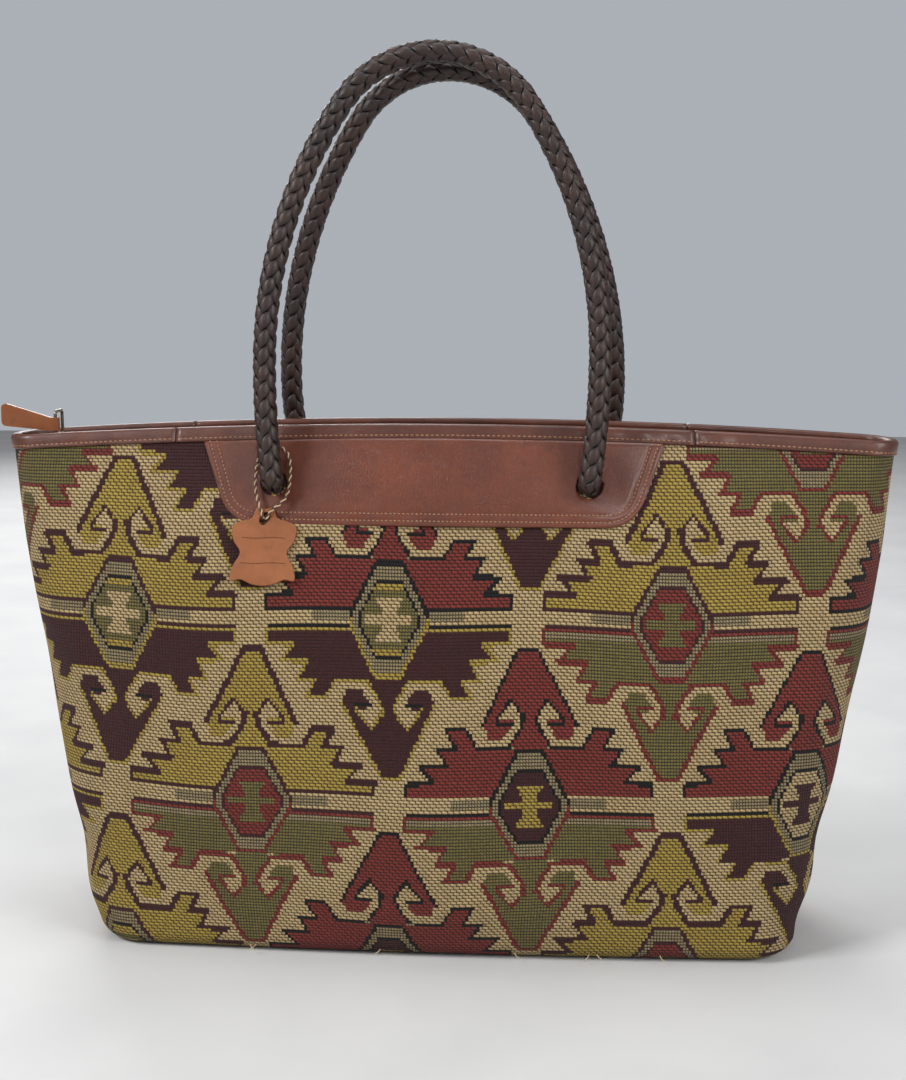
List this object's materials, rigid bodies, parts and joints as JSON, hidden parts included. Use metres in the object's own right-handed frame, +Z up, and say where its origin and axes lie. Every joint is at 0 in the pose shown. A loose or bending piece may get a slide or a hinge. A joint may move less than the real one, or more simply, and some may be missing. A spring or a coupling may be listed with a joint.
{
  "type": "tote bag",
  "caption": "Zipped tote bag of woven tapestry with leather yokes and rim, paired braided handles and a hanging leather tag.",
  "frame": {"origin": "middle of the flat base, on the surface the bag stands on", "axes": "+Z up, +X to the right seen from the front, -Y out of the front face"},
  "size_m": [0.4712, 0.1394, 0.4644],
  "materials": {
    "tapestry": "woven",
    "base_cloth": "woven",
    "lining": "smooth cloth",
    "board": "matt",
    "yoke_leather": "glazed",
    "binding_leather": "glazed",
    "braid_leather": "glazed",
    "tag_leather": "natural",
    "pull_leather": "polished",
    "zip_tape": "woven tape",
    "zip_metal": "aged",
    "ring_metal": "worn",
    "cord": "twisted cord"
  },
  "bodies": {
    "bag": {"front_panel": "tapestry", "back_panel": "tapestry", "base_panel": "base_cloth", "base_board": "board", "lining": "lining", "front_yoke": "yoke_leather", "back_yoke": "yoke_leather", "rim_binding_front": "binding_leather", "rim_binding_back": "binding_leather", "rim_binding_left": "binding_leather", "rim_binding_right": "binding_leather", "zip_tape_front": "zip_tape", "zip_tape_back": "zip_tape", "zip_teeth_front": "zip_metal", "zip_teeth_back": "zip_metal", "zip_stops": "zip_metal", "front_handle_tails": "braid_leather", "back_handle_tails": "braid_leather"},
    "front_handle": {"front_handle": "braid_leather"},
    "back_handle": {"back_handle": "braid_leather"},
    "slider": {"zip_slider": "zip_metal"},
    "pull_ring": {"zip_pull_ring": "ring_metal"},
    "pull_tab": {"zip_pull_tab": "pull_leather"},
    "tag": {"hang_tag": "tag_leather", "tag_cord": "cord"}
  },
  "joints": [
    {"name": "front_handle_swing", "type": "hinge", "parent": "bag", "child": "front_handle", "pos_m": [-0.006, -0.04258, 0.24538], "axis": [1, 0, 0], "range_deg": [0, 140]},
    {"name": "back_handle_swing", "type": "hinge", "parent": "bag", "child": "back_handle", "pos_m": [-0.006, 0.04258, 0.24538], "axis": [-1, 0, 0], "range_deg": [0, 140]},
    {"name": "zip_slide", "type": "slide", "parent": "bag", "child": "slider", "axis": [1, 0, 0], "range_m": [0, 0.4]},
    {"name": "pull_ring_tilt", "type": "hinge", "parent": "slider", "child": "pull_ring", "pos_m": [-0.20865, 0, 0.2626], "axis": [0, 1, 0], "range_deg": [0, 65]},
    {"name": "pull_tab_swing", "type": "hinge", "parent": "pull_ring", "child": "pull_tab", "pos_m": [-0.20865, -0.0055, 0.26935], "axis": [0, 0, 1], "range_deg": [-50, 20]},
    {"name": "tag_swing", "type": "hinge", "parent": "bag", "child": "tag", "pos_m": [-0.0878, -0.0296, 0.2607], "axis": [1, 0, 0], "range_deg": [-40, 0]}
  ]
}
